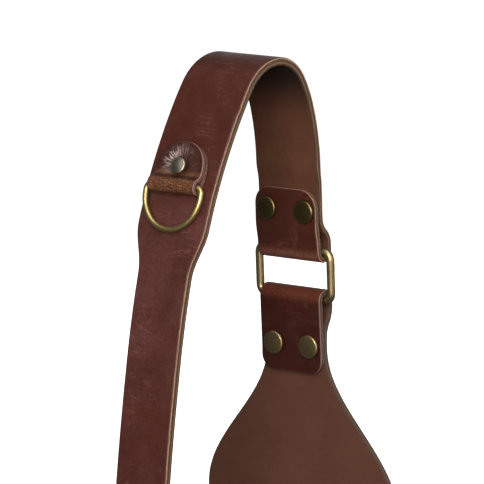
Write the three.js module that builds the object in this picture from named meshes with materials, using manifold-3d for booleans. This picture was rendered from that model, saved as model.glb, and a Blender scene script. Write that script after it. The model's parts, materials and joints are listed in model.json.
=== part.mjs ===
// Leather shoulder strap of an apron harness, looped over, with its D-ring tab, link ring and back panel.
// Millimetres. X is across the strap, +Y is towards the wearer's back, +Z is up.
// The origin is the underside of the crown, where a shoulder or a peg carries the strap.

import * as THREE from 'three';
import { mergeVertices } from 'three/addons/utils/BufferGeometryUtils.js';
import Module from 'manifold-3d';

const wasm = await Module();
wasm.setup();

// ---- driving dimensions ----

const GAP = 0.3; // air between touching pieces
const LEATHER = 4; // strap's thickness
const SKIVED = 3; // panel's thickness, and the strap's where it is pared down to fold round its ring

const TAIL_WIDTH = 30.5;
const CHEST_WIDTH = 41; // at the D-ring
const BACK_WIDTH = 37.4;
const TAIL_END_RADIUS = 14;
const NARROWING_START = 120; // along the strap from the crown
const NARROWING_END = 96;

// The strap's side view from the crown down: [length, turn in degrees]
const FRONT_BENDS = [[26, 55.5], [40, 9], [40, 9.5], [50, 6.5], [150, 7.5]];
const BACK_BENDS = [[22, 56], [16, 16], [28.9, 15]];
const LEAN = 3; // the back leg, and what hangs from it, lean this far off plumb

const HOLE_RADIUS = 2.2; // adjustment holes in the tail
const HOLE_COUNT = 4;
const HOLE_PITCH = 20;
const FIRST_HOLE = 22; // from the tail's end

const LINK_WIRE = 4.2;
const LINK_INSIDE = [40, 19.6];
const LINK_CORNER = 2; // inside radius
const BUTT_JOINT = 0.3; // where a bent wire's ends meet

// Height and sideways shift where the back leg is pared down, and where it swells round the link ring
const SKIVE_JOGGLE = [12, 0.9];
const RIVETED_RUN = 14.4; // straight part of the leg between them
const LEG_JOGGLE = [13.5, 5.7];
const FOOT = 3; // straight part beside a bar of the ring
const FLAP_JOGGLE_HEIGHT = 14.6;
const STRAP_FLAP_REACH = 30.5; // flap's edge above the upper bar
const STRAP_RIVET = [11.6, 20.1]; // half the spacing, and height above the upper bar
const STRAP_FLAP_CORNER = 9;

const PANEL_JOGGLE = [16, -4.4];
const PANEL_FLAP_REACH = 36.2; // flap's edge below the lower bar
const PANEL_RIVET = [10.8, 22.6]; // half the spacing, and drop below the lower bar
const PANEL_FLAP_CORNER = 7;
const PANEL_FLAP_WIDTH = 37;
const NECK_WIDTH = 36;
const PANEL_WIDTH = 117;
// Where the neck starts to flare below the lower bar, and over what height
const SHOULDER = [25, 75];
const PANEL_DROP = 165; // bottom edge below the lower bar
const PANEL_CORNER = 42;

const RIVET_CAP = [5.8, 1.8]; // radius and height
const RIVET_DOME = 0.4; // how much of a cap's height is its crown
const RIVETS_OFF_CENTRE = 0.7; // both pairs sit this far to +X of the leather's middle
const POST_RADIUS = 1.5;
const RIVET_BACK = [4.4, 1.3];

const TAB_LEATHER = 2;
const TAB_WIDTH = 28.5;
const TAB_RIVET_AT = 69; // along the strap from the crown
const TAB_HEAD = 12.4; // head's top above its rivet
const TAB_BAR = 9.4; // D-ring's bar below the rivet
const TAB_JOGGLE_HEIGHT = 6.2;
const TAB_CAP = [4.1, 2];
const TAB_CAP_DOME = 0.7;

const D_WIRE = 2.8;
const D_INSIDE = [30.8, 18.2];
const D_CORNER = 1.6;
const D_REST_ANGLE = 10; // the ring leans this far from the tangent plane to lie on the bent strap

// ---- materials ----

function leather(colour) {
  return new THREE.MeshStandardMaterial({ color: colour, roughness: 0.5, metalness: 0 });
}

function brass(colour, roughness) {
  return new THREE.MeshStandardMaterial({ color: colour, roughness, metalness: 1 });
}

const STRAP_LEATHER = 0x4a1e17;
const TAB_COLOUR = 0x4a2018;
const PANEL_COLOUR = 0x4d2a20;
const RING_BRASS = 0x9c8350;
const RIVET_BRASS = 0x6e6044;
const PALE_BRASS = 0x98907a;

// ---- solids ----

function toSolid(geometry) {
  geometry.deleteAttribute('normal');
  geometry.deleteAttribute('uv');
  const merged = mergeVertices(geometry, 1e-4);
  const index = [];
  for (let i = 0; i < merged.index.count; i += 3) {
    const [a, b, c] = [0, 1, 2].map((k) => merged.index.getX(i + k));
    if (a !== b && b !== c && c !== a) {
      index.push(a, b, c);
    }
  }
  const mesh = new wasm.Mesh({
    numProp: 3,
    vertProperties: Float32Array.from(merged.attributes.position.array),
    triVerts: Uint32Array.from(index),
  });
  return new wasm.Manifold(mesh);
}

function toMesh(name, solid, material) {
  const { vertProperties, triVerts } = solid.getMesh();
  const geometry = new THREE.BufferGeometry();
  geometry.setAttribute('position', new THREE.BufferAttribute(vertProperties, 3));
  geometry.setIndex(new THREE.BufferAttribute(triVerts, 1));
  geometry.computeVertexNormals();
  const mesh = new THREE.Mesh(geometry, material);
  mesh.name = name;
  return mesh;
}

// ---- bent leather ----

// A line in the YZ plane made of arcs. Heading 0 points up, 90 points to +Y.
class BentLine {
  constructor(y, z, heading) {
    this.pieces = [];
    this.end = { y, z, heading };
    this.length = 0;
  }

  bend(length, turn) {
    this.pieces.push({ from: this.end, start: this.length, length, turn });
    this.end = BentLine.along(this.end, length, turn);
    this.length += length;
    return this;
  }

  // Two equal arcs that move the line sideways, towards +Y for a positive shift.
  joggle(height, shift) {
    const angle = 2 * Math.atan(Math.abs(shift) / height);
    const radius = height / (2 * Math.sin(angle));
    const side = Math.sign(shift) * Math.sign(Math.cos(THREE.MathUtils.degToRad(this.end.heading)));
    const turn = side * THREE.MathUtils.radToDeg(angle);
    return this.bend(radius * angle, turn).bend(radius * angle, -turn);
  }

  static along(from, length, turn) {
    const halfTurn = THREE.MathUtils.degToRad(turn / 2);
    const chord = halfTurn === 0 ? length : (length * Math.sin(halfTurn)) / halfTurn;
    const way = THREE.MathUtils.degToRad(from.heading) + halfTurn;
    return {
      y: from.y + chord * Math.sin(way),
      z: from.z + chord * Math.cos(way),
      heading: from.heading + turn,
    };
  }

  at(distance) {
    const piece = this.pieces.find((p) => distance <= p.start + p.length + 1e-9) ?? this.pieces.at(-1);
    const share = (distance - piece.start) / piece.length;
    return BentLine.along(piece.from, share * piece.length, share * piece.turn);
  }

  stations() {
    return this.pieces.flatMap(({ start, length, turn }) => {
      const count = Math.ceil(Math.max(Math.abs(turn) / 14, length / 25));
      return Array.from({ length: count }, (_, i) => start + (length * (i + 1)) / count);
    });
  }
}

// A strip bent along two lines that part at its top. Below 0, s runs down the front line, and above 0 down
// the back line. thickness(s) and halfWidth(s) give its section, and the grain side is outside the bend.
class Strip {
  constructor(front, back, thickness, halfWidth, outlineStations) {
    Object.assign(this, { front, back, thickness, halfWidth });
    const all = [0, ...front.stations().map((s) => -s), ...back.stations(), ...outlineStations];
    all.sort((a, b) => a - b);
    this.stations = all.filter((s, i) => i === 0 || s - all[i - 1] > 0.2);
  }

  // The point at distance s, x across and w out of the middle of the thickness towards the grain side.
  point(x, s, w) {
    const side = s < 0 ? -1 : 1;
    const { y, z, heading } = (s < 0 ? this.front : this.back).at(Math.abs(s));
    const angle = THREE.MathUtils.degToRad(heading);
    return new THREE.Vector3(x, y - side * w * Math.cos(angle), z + side * w * Math.sin(angle));
  }

  solid() {
    const count = this.stations.length - 1;
    const box = new THREE.BoxGeometry(2, count, 1, 1, count, 1);
    const position = box.attributes.position;
    for (let i = 0; i < position.count; i++) {
      const s = this.stations[Math.round(position.getY(i) + count / 2)];
      const p = this.point(position.getX(i) * this.halfWidth(s), s, position.getZ(i) * this.thickness(s));
      position.setXYZ(i, p.x, p.y, p.z);
    }
    return toSolid(box);
  }
}

// How far a rounded corner is cut back at a distance from the end.
function cornerCut(distance, radius) {
  if (distance >= radius) {
    return 0;
  }
  return radius - Math.sqrt(radius ** 2 - (radius - distance) ** 2);
}

// Stations round a corner, as distances from the end.
function cornerStations(radius, count = 6) {
  return Array.from({ length: count }, (_, i) => radius * (1 - Math.cos((Math.PI / 2) * (i / count))));
}

function ease(t) {
  const clamped = THREE.MathUtils.clamp(t, 0, 1);
  return (1 - Math.cos(Math.PI * clamped)) / 2;
}

function evenly(from, to, step) {
  const count = Math.ceil(Math.abs(to - from) / step);
  return Array.from({ length: count + 1 }, (_, i) => from + ((to - from) * i) / count);
}

// A round rod between two points.
function rod(radius, from, to) {
  const length = from.distanceTo(to);
  const geometry = new THREE.CylinderGeometry(radius, radius, length, 20);
  const turn = new THREE.Quaternion().setFromUnitVectors(
    new THREE.Vector3(0, 1, 0),
    to.clone().sub(from).normalize(),
  );
  geometry.applyQuaternion(turn);
  const middle = from.clone().lerp(to, 0.5);
  geometry.translate(middle.x, middle.y, middle.z);
  return toSolid(geometry);
}

// ---- wire rings ----

class WirePath extends THREE.Curve {
  constructor(path) {
    super();
    this.path = path;
  }

  getPoint(t) {
    const { x, y } = this.path.getPoint(t);
    return new THREE.Vector3(x, 0, y);
  }
}

function wireRing(path, wire) {
  const section = new THREE.Shape().absarc(0, 0, wire / 2, 0, 2 * Math.PI);
  const steps = Math.round(path.getLength() / 2);
  const extrudePath = new WirePath(path);
  const options = { extrudePath, steps, curveSegments: 6, bevelEnabled: false };
  return toSolid(new THREE.ExtrudeGeometry(section, options));
}

// A rectangle of wire in the XZ plane. The middle of its upper bar, where its ends meet, is at the origin.
function linkRing() {
  const half = (LINK_INSIDE[0] + LINK_WIRE) / 2;
  const drop = LINK_INSIDE[1] + LINK_WIRE;
  const corner = LINK_CORNER + LINK_WIRE / 2;
  const path = new THREE.Path();
  path.moveTo(BUTT_JOINT / 2, 0);
  path.lineTo(half - corner, 0);
  path.absarc(half - corner, -corner, corner, Math.PI / 2, 0, true);
  path.lineTo(half, corner - drop);
  path.absarc(half - corner, corner - drop, corner, 0, -Math.PI / 2, true);
  path.lineTo(corner - half, -drop);
  path.absarc(corner - half, corner - drop, corner, -Math.PI / 2, -Math.PI, true);
  path.lineTo(-half, -corner);
  path.absarc(corner - half, -corner, corner, Math.PI, Math.PI / 2, true);
  path.lineTo(-BUTT_JOINT / 2, 0);
  return wireRing(path, LINK_WIRE);
}

// A D of wire in the XZ plane, with the middle of its bar at the origin and its bow hanging below.
function dRing() {
  const half = (D_INSIDE[0] + D_WIRE) / 2;
  const drop = D_INSIDE[1] + D_WIRE;
  const corner = D_CORNER + D_WIRE / 2;
  const path = new THREE.Path();
  path.moveTo(BUTT_JOINT / 2, 0);
  path.lineTo(half - corner, 0);
  path.absarc(half - corner, -corner, corner, Math.PI / 2, 0, true);
  path.lineTo(half, half - drop);
  path.absarc(0, half - drop, half, 0, -Math.PI, true);
  path.lineTo(-half, -corner);
  path.absarc(corner - half, -corner, corner, Math.PI, Math.PI / 2, true);
  path.lineTo(-BUTT_JOINT / 2, 0);
  return wireRing(path, D_WIRE);
}

// ---- rivets ----

function turned(profile) {
  return toSolid(new THREE.LatheGeometry(profile.map(([x, y]) => new THREE.Vector2(x, y)), 20));
}

// The seat is at y = 0 and the crown towards +Y, with a socket for the post.
function rivetCap([radius, height], dome) {
  const rim = 0.8;
  const socket = POST_RADIUS + GAP;
  const depth = height / 2;
  const profile = [[0, depth], [socket, depth], [socket, 0], [radius - 0.4, 0], [radius, 0.4]];
  for (const angle of evenly(0, Math.PI / 2, Math.PI / 6)) {
    profile.push([radius - rim + rim * Math.cos(angle), height - dome - rim + rim * Math.sin(angle)]);
  }
  profile.push([(radius - rim) * 0.6, height - dome * 0.35], [0, height]);
  return turned(profile);
}

// A thin cap at y < 0 with a post that reaches up into the other cap's socket.
function rivetPost([radius, height], reach) {
  const rim = 0.6;
  const cap = [[0, -height], [radius - rim, -height], [radius, rim - height], [radius, 0]];
  return turned([...cap, [POST_RADIUS, 0], [POST_RADIUS, reach], [0, reach]]);
}

// A cap and its post, joined through a stack of leather from y = 0 (back) to y = -stack (front).
function rivetPair(name, at, stack, cap, dome, colour) {
  const pair = new THREE.Group();
  pair.position.copy(at);
  const front = toMesh(`${name}_cap`, rivetCap(cap, dome), brass(colour, 0.4));
  front.position.y = -stack - GAP;
  front.rotation.x = Math.PI;
  const reach = stack + GAP + cap[1] / 2;
  const post = toMesh(`${name}_post`, rivetPost(RIVET_BACK, reach), brass(RIVET_BRASS, 0.45));
  post.position.y = GAP;
  post.rotation.x = Math.PI;
  pair.add(front, post);
  return pair;
}

// ---- the strap ----

const strapFront = new BentLine(0, LEATHER / 2, -90);
for (const [length, turn] of FRONT_BENDS) {
  strapFront.bend(length, -turn);
}

const foldRadius = LINK_WIRE / 2 + GAP + SKIVED / 2;
const stackPitch = SKIVED + GAP; // between the middles of two layers riveted together
const strapBack = new BentLine(0, LEATHER / 2, 90);
for (const [length, turn] of BACK_BENDS) {
  strapBack.bend(length, turn);
}
const skiveStart = strapBack.length;
strapBack.joggle(...SKIVE_JOGGLE);
strapBack.bend(RIVETED_RUN, 0);
strapBack.joggle(...LEG_JOGGLE);
strapBack.bend(FOOT, 0);
const foldStart = strapBack.end;
strapBack.bend(Math.PI * foldRadius, 180);
strapBack.joggle(FLAP_JOGGLE_HEIGHT, 2 * foldRadius - LEG_JOGGLE[1] - stackPitch);
strapBack.bend(STRAP_FLAP_REACH - FLAP_JOGGLE_HEIGHT, 0);

// A frame at the middle of the upper bar that leans with the back leg
const linkFrame = new THREE.Group();
linkFrame.position.set(0, foldStart.y, foldStart.z);
linkFrame.rotation.x = THREE.MathUtils.degToRad(LEAN);
linkFrame.translateY(-foldRadius);
linkFrame.updateMatrixWorld();
const legY = foldRadius - LEG_JOGGLE[1];

function strapHalfWidth(s) {
  const widening = ease((s + NARROWING_START) / (NARROWING_START - NARROWING_END));
  const chest = THREE.MathUtils.lerp(TAIL_WIDTH, CHEST_WIDTH, widening);
  const width = THREE.MathUtils.lerp(chest, BACK_WIDTH, ease((s + 40) / 80));
  const tailCut = cornerCut(s + strapFront.length, TAIL_END_RADIUS);
  return width / 2 - tailCut - cornerCut(strapBack.length - s, STRAP_FLAP_CORNER);
}

function strapThickness(s) {
  return THREE.MathUtils.lerp(LEATHER, SKIVED, ease((s - skiveStart) / SKIVE_JOGGLE[0]));
}

const strapStations = [
  -strapFront.length,
  ...cornerStations(TAIL_END_RADIUS).map((d) => d - strapFront.length),
  ...evenly(-NARROWING_START, -NARROWING_END, 6),
  ...cornerStations(STRAP_FLAP_CORNER).map((d) => strapBack.length - d),
];
const strapStrip = new Strip(strapFront, strapBack, strapThickness, strapHalfWidth, strapStations);

// ---- the link ring and panel hang from the upper bar ----

const lowerBar = -LINK_INSIDE[1] - LINK_WIRE;
const panelTop = lowerBar + foldRadius;
const panelFlap = new BentLine(0, panelTop, -90);
panelFlap.bend((Math.PI / 2) * foldRadius, -90);
panelFlap.joggle(PANEL_JOGGLE[0], 2 * foldRadius + PANEL_JOGGLE[1] - stackPitch);
panelFlap.bend(PANEL_FLAP_REACH - PANEL_JOGGLE[0], 0);

const panelBack = new BentLine(0, panelTop, 90);
panelBack.bend((Math.PI / 2) * foldRadius, 90);
const panelLegStart = panelBack.length;
panelBack.bend(FOOT, 0);
panelBack.joggle(...PANEL_JOGGLE);
const joggleDrop = FOOT + PANEL_JOGGLE[0];
const joggleExtra = panelBack.length - panelLegStart - joggleDrop;
panelBack.bend(PANEL_DROP - joggleDrop, 0);
const panelY = panelBack.end.y;

function panelHalfWidth(s) {
  const drop = s - panelLegStart - joggleExtra;
  const narrowing = ease(s / (panelLegStart + SHOULDER[0]));
  const neck = THREE.MathUtils.lerp(PANEL_FLAP_WIDTH, NECK_WIDTH, narrowing);
  const width = THREE.MathUtils.lerp(neck, PANEL_WIDTH, ease((drop - SHOULDER[0]) / SHOULDER[1]));
  const flapCut = cornerCut(s + panelFlap.length, PANEL_FLAP_CORNER);
  return width / 2 - flapCut - cornerCut(panelBack.length - s, PANEL_CORNER);
}

const shoulderAt = panelLegStart + joggleExtra + SHOULDER[0];
const panelStations = [
  -panelFlap.length,
  ...cornerStations(PANEL_FLAP_CORNER).map((d) => d - panelFlap.length),
  ...evenly(shoulderAt, shoulderAt + SHOULDER[1], 6),
  ...cornerStations(PANEL_CORNER, 8).map((d) => panelBack.length - d),
];
const panelStrip = new Strip(panelFlap, panelBack, () => SKIVED, panelHalfWidth, panelStations);

// ---- rivets through the flaps ----

const stack = SKIVED + stackPitch;
const strapRivets = [-1, 1].map((side) => {
  const x = RIVETS_OFF_CENTRE + side * STRAP_RIVET[0];
  return new THREE.Vector3(x, legY + SKIVED / 2, STRAP_RIVET[1]);
});
const panelRivets = [-1, 1].map((side) => {
  const x = RIVETS_OFF_CENTRE + side * PANEL_RIVET[0];
  return new THREE.Vector3(x, panelY + SKIVED / 2, lowerBar - PANEL_RIVET[1]);
});

// Cuts the post's hole through the leather and seats both caps flat in it.
function punch(solid, at) {
  const back = at.clone().add(new THREE.Vector3(0, LEATHER, 0));
  const frontSeat = at.clone().sub(new THREE.Vector3(0, stack, 0));
  const front = frontSeat.clone().sub(new THREE.Vector3(0, LEATHER, 0));
  return solid
    .subtract(rod(POST_RADIUS + GAP, back, front))
    .subtract(rod(RIVET_BACK[0] + GAP, at, back))
    .subtract(rod(RIVET_CAP[0] + GAP, front, frontSeat));
}

// ---- the D-ring tab, in a frame that lies on the strap with its rivet's foot at the origin ----

const tabFold = D_WIRE / 2 + GAP + TAB_LEATHER / 2;
const tabPitch = TAB_LEATHER + GAP;
const tabBaseY = -GAP - TAB_LEATHER / 2;
const tabUnder = new BentLine(tabBaseY, -TAB_BAR, 0).bend(TAB_BAR + TAB_HEAD, 0);
const tabOver = new BentLine(tabBaseY, -TAB_BAR, 180);
tabOver.bend(Math.PI * tabFold, 180);
tabOver.joggle(TAB_JOGGLE_HEIGHT, 2 * tabFold - tabPitch);
tabOver.bend(TAB_BAR + TAB_HEAD - TAB_JOGGLE_HEIGHT, 0);

const dBar = new THREE.Vector3(0, tabBaseY - tabFold, -TAB_BAR);

function tabHalfWidth(s) {
  const end = s < 0 ? s + tabUnder.length : tabOver.length - s;
  return TAB_WIDTH / 2 - cornerCut(end, TAB_WIDTH / 2 - 0.5);
}

const tabCorner = cornerStations(TAB_WIDTH / 2 - 0.5);
const tabStations = [
  -tabUnder.length,
  ...tabCorner.map((d) => d - tabUnder.length),
  ...tabCorner.map((d) => tabOver.length - d),
];
const tabStrip = new Strip(tabUnder, tabOver, () => TAB_LEATHER, tabHalfWidth, tabStations);

const tabSeat = strapStrip.point(0, -TAB_RIVET_AT, LEATHER / 2);
const tabSlope = -strapFront.at(TAB_RIVET_AT).heading - 180;
const tabFrame = new THREE.Group();
tabFrame.position.copy(tabSeat);
tabFrame.rotation.x = THREE.MathUtils.degToRad(tabSlope);
tabFrame.updateMatrixWorld();

// ---- assembly ----

// The strap is cut in the link's frame and in the tab's, so it is moved into each and back.
function moved(solid, matrix) {
  return solid.transform(matrix.elements);
}

let strapSolid = moved(strapStrip.solid(), linkFrame.matrixWorld.clone().invert());
for (const at of strapRivets) {
  strapSolid = punch(strapSolid, at);
}
strapSolid = moved(strapSolid, linkFrame.matrixWorld);
for (let i = 0; i < HOLE_COUNT; i++) {
  const s = FIRST_HOLE + i * HOLE_PITCH - strapFront.length;
  const drill = rod(HOLE_RADIUS, strapStrip.point(0, s, -LEATHER), strapStrip.point(0, s, LEATHER));
  strapSolid = strapSolid.subtract(drill);
}
const tabHole = [new THREE.Vector3(0, 2 * LEATHER, 0), new THREE.Vector3(0, -2 * LEATHER, 0)];
const tabHoleWorld = tabHole.map((p) => p.clone().applyMatrix4(tabFrame.matrixWorld));
strapSolid = strapSolid.subtract(rod(POST_RADIUS + GAP, ...tabHoleWorld));

let panelSolid = panelStrip.solid();
for (const at of panelRivets) {
  panelSolid = punch(panelSolid, at);
}

const tabSolid = tabStrip.solid().subtract(rod(POST_RADIUS + GAP, ...tabHole));
const ring = toMesh('d_ring', dRing(), brass(RING_BRASS, 0.3));
ring.position.copy(dBar);
ring.rotation.x = THREE.MathUtils.degToRad(D_REST_ANGLE);
const tabRivetAt = new THREE.Vector3(0, LEATHER, 0);
const tabStack = LEATHER + 2 * tabPitch;
tabFrame.add(
  toMesh('d_ring_tab', tabSolid, leather(TAB_COLOUR)),
  ring,
  rivetPair('tab_rivet', tabRivetAt, tabStack, TAB_CAP, TAB_CAP_DOME, PALE_BRASS),
);

linkFrame.add(
  toMesh('link_ring', linkRing(), brass(RING_BRASS, 0.4)),
  toMesh('back_panel', panelSolid, leather(PANEL_COLOUR)),
);
['left', 'right'].forEach((side, i) => {
  linkFrame.add(
    rivetPair(`strap_rivet_${side}`, strapRivets[i], stack, RIVET_CAP, RIVET_DOME, RIVET_BRASS),
    rivetPair(`panel_rivet_${side}`, panelRivets[i], stack, RIVET_CAP, RIVET_DOME, RIVET_BRASS),
  );
});

const harness = new THREE.Group();
harness.add(toMesh('shoulder_strap', strapSolid, leather(STRAP_LEATHER)), tabFrame, linkFrame);

export default harness;
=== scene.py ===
# Looks for the looped leather shoulder strap: bent leather strips, bent wire rings and turned rivets.
# Shapes are worked out in millimetres and leave as metres, in the CAD's frame.
# Leather is laid out flat as (x, s, w): x across it, s along it from its top, and w out of the middle of its
# thickness towards the grain side. A bent line then carries it into place.

import json
import math

import bmesh
import bpy
import numpy as np
from mathutils import Matrix, Vector


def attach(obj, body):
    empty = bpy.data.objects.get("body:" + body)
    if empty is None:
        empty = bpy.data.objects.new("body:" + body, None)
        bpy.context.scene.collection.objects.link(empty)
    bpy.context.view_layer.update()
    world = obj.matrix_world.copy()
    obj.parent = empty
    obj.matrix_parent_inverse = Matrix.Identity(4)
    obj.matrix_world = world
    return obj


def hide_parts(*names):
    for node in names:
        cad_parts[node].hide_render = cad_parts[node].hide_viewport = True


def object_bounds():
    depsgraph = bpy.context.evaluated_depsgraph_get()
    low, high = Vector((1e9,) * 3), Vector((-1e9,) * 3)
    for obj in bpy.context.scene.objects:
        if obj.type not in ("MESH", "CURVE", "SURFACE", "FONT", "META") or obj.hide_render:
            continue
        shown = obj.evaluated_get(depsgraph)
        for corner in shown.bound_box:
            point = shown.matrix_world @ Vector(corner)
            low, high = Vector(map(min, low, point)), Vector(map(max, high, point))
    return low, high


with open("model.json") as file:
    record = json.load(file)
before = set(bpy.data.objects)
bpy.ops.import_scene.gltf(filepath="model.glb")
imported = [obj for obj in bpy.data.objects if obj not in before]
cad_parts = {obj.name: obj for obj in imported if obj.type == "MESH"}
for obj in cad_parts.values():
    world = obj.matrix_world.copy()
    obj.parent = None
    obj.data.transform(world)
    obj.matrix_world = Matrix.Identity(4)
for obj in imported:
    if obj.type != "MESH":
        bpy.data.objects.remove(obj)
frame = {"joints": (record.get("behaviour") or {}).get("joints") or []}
cad_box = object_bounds()

MM = 0.001  # metres in a millimetre

# ---- driving dimensions, as the CAD has them ----

GAP = 0.3  # air between touching pieces
LEATHER = 4.0
SKIVED = 3.0  # the panel, and the strap where it is pared down to fold round its ring

TAIL_WIDTH = 30.5
CHEST_WIDTH = 41.0
BACK_WIDTH = 37.4
TAIL_END_RADIUS = 14.0
NARROWING = (-120.0, -96.0)  # along the strap from the crown
CROWN_NARROWING = (-40.0, 40.0)
# Length and turn of each arc down from the crown, in millimetres and degrees
FRONT_BENDS = ((26, 55.5), (40, 9), (40, 9.5), (50, 6.5), (150, 7.5))
BACK_BENDS = ((22, 56), (16, 16), (28.9, 15))
LEAN = 3.0  # of the back leg, the link and the panel, in degrees

HOLE_RADIUS = 2.2
HOLE_COUNT = 4
HOLE_PITCH = 20.0
FIRST_HOLE = 22.0

LINK_WIRE = 4.2
LINK_INSIDE = (40.0, 19.6)
LINK_CORNER = 2.0
BUTT_JOINT = 0.3

SKIVE_JOGGLE = (12.0, 0.9)  # of each joggle, its height and its shift sideways
RIVETED_RUN = 14.4
LEG_JOGGLE = (13.5, 5.7)
FOOT = 3.0
FLAP_JOGGLE_HEIGHT = 14.6
STRAP_FLAP_REACH = 30.5
STRAP_RIVET = (11.6, 20.1)
STRAP_FLAP_CORNER = 9.0

PANEL_JOGGLE = (16.0, -4.4)
PANEL_FLAP_REACH = 36.2
PANEL_RIVET = (10.8, 22.6)
RIVETS_OFF_CENTRE = 0.7
PANEL_FLAP_CORNER = 7.0
PANEL_FLAP_WIDTH = 37.0
NECK_WIDTH = 36.0
PANEL_WIDTH = 117.0
SHOULDER = (25.0, 75.0)  # where the flare starts below the bar, and its length
PANEL_DROP = 165.0
PANEL_CORNER = 42.0

RIVET_CAP = (5.8, 1.8, 0.4)  # radius, height and how much of that is its crown
TAB_CAP = (4.1, 2.0, 0.7)
RIVET_BACK = (4.4, 1.3)
POST_RADIUS = 1.5

TAB_LEATHER = 2.0
TAB_WIDTH = 28.5
TAB_RIVET_AT = 69.0  # along the front leg from the crown
TAB_HEAD = 12.4  # from the rivet up to the tab's end
TAB_BAR = 9.4  # from the rivet down to the D-ring's bar
TAB_JOGGLE_HEIGHT = 6.2

D_WIRE = 2.8
D_INSIDE = (30.8, 18.2)
D_CORNER = 1.6
D_REST_ANGLE = 10.0

# ---- softer shapes that only the looks have ----

STRAP_STEP = 1.3  # between the rows of a strip's mesh
TAB_STEP = 0.5
STRAP_COLUMNS = 28
PANEL_COLUMNS = 40
TAB_COLUMNS = 56
TAB_CORNER = TAB_WIDTH / 2 - 0.5
STRAP_RIM = (0.6, 0.45)  # rounding of a cut edge on its grain side and its flesh side
TAB_RIM = (0.45, 0.35)
HOLE_SOFTENING = 0.3
HOLE_ROOM = 1.6  # ring of re-laid grain round a hole

RIVET_DIP = 0.25  # how far leather sinks round a cap
RIVET_DIP_SPREAD = 2.4
RIVET_RISE = 0.09  # how fast it may come back up, for each square millimetre past the cap
RIVET_REACH = 7.0  # past a cap, where its press ends
RIVET_DEPTH = -1.5  # leather further behind a seat than this belongs to the next layer

TAB_DISH = (0.75, 2.6)  # depth and spread
TAB_RIDGE = (0.3, 8.6, 2.2)  # height, radius and spread
TAB_DISH_START = -0.6  # past the cap
TAB_GATHER_BAND = (7.6, 2.6)  # radius and spread
TAB_GATHERS = ((-0.75, 0.95, 1.0), (1.2, 0.8, 0.04))  # angle, spread and share
TAB_GATHER_ROUND = 8.0  # radius at which an angle is measured as a length

CAP_RIM = 0.8
CAP_FOOT = 0.35
BACK_RIM = 0.6
CAP_SINK = 0.15  # how far a flap's cap sits into its leather
TAB_CAP_SINK = 0.7

FULL_STRETCH = 10.0  # degrees of bend for each millimetre where the grain is pulled most

# ---- shape helpers ----


def lerp(a, b, share):
    return a + (b - a) * share


def ease(share):
    return (1 - np.cos(np.pi * np.clip(share, 0, 1))) / 2


def along(y, z, heading, run, turn):
    """Where an arc of that length and turn, in degrees, leads to from a point and heading."""
    half = np.radians(turn / 2)
    chord = run * np.sinc(half / np.pi)
    way = np.radians(heading) + half
    return y + chord * np.sin(way), z + chord * np.cos(way), heading + turn


class BentLine:
    """A line in the YZ plane made of arcs. Heading 0 points up, 90 points to +Y."""

    def __init__(self, y, z, heading):
        self.arcs = []
        self.end = (y, z, heading)
        self.length = 0.0

    def bend(self, length, turn):
        self.arcs.append((*self.end, self.length, length, turn))
        self.end = along(*self.end, length, turn)
        self.length += length
        return self

    def joggle(self, height, shift):
        """Two equal arcs that move the line sideways, towards +Y for a positive shift."""
        angle = 2 * math.atan(abs(shift) / height)
        radius = height / (2 * math.sin(angle))
        side = math.copysign(1, shift) * math.copysign(1, math.cos(math.radians(self.end[2])))
        turn = side * math.degrees(angle)
        return self.bend(radius * angle, turn).bend(radius * angle, -turn)

    def at(self, distance):
        """The y, z and heading at each distance along the line."""
        arcs = np.array(self.arcs)
        last = np.searchsorted(arcs[:, 3], distance, side="right") - 1
        y, z, heading, start, length, turn = arcs[np.clip(last, 0, len(arcs) - 1)].T
        run = distance - start
        return along(y, z, heading, run, turn * run / length)

    def bentness(self, distance, reach=3.0):
        """Degrees of bend for each millimetre, taken over a short reach either way."""
        low = np.clip(distance - reach, 0, self.length)
        high = np.clip(distance + reach, 0, self.length)
        return np.abs(self.at(high)[2] - self.at(low)[2]) / (2 * reach)


def new_object(name, points, faces, materials, face_materials=None, attributes=()):
    """A smooth closed mesh from points in millimetres, with its normals outwards."""
    mesh = bpy.data.meshes.new(name)
    mesh.from_pydata([tuple(p * MM) for p in points], [], faces)
    for material in materials:
        mesh.materials.append(material)
    if face_materials is not None:
        mesh.polygons.foreach_set("material_index", face_materials)
    for label, kind, values in attributes:
        field = "vector" if kind == "FLOAT_VECTOR" else "value"
        attribute = mesh.attributes.new(label, kind, "POINT")
        attribute.data.foreach_set(field, np.asarray(values, np.float32).ravel())
    work = bmesh.new()
    work.from_mesh(mesh)
    loose = [v for v in work.verts if not v.link_faces]
    bmesh.ops.delete(work, geom=loose, context="VERTS")
    bmesh.ops.recalc_face_normals(work, faces=work.faces)
    work.to_mesh(mesh)
    work.free()
    mesh.polygons.foreach_set("use_smooth", [True] * len(mesh.polygons))
    made = bpy.data.objects.new(name, mesh)
    bpy.context.scene.collection.objects.link(made)
    return made


# ---- leather strips ----

GRAIN, EDGE, FLESH = range(3)


def rim_profile(thickness, grain_round, flesh_round, steps=5):
    """The rim's section from the grain side to the flesh side, as (distance in from the outline, w)."""
    half = thickness / 2
    turns = np.linspace(0, np.pi / 2, steps + 1)
    section = [(grain_round * (1 - math.sin(a)), half - grain_round * (1 - math.cos(a))) for a in turns]
    flat = np.linspace(half - grain_round, flesh_round - half, steps)[1:-1]
    section += [(0.0, w) for w in flat]
    for a in turns:
        section.append((flesh_round * (1 - math.cos(a)), flesh_round - half - flesh_round * math.sin(a)))
    return section


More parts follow.
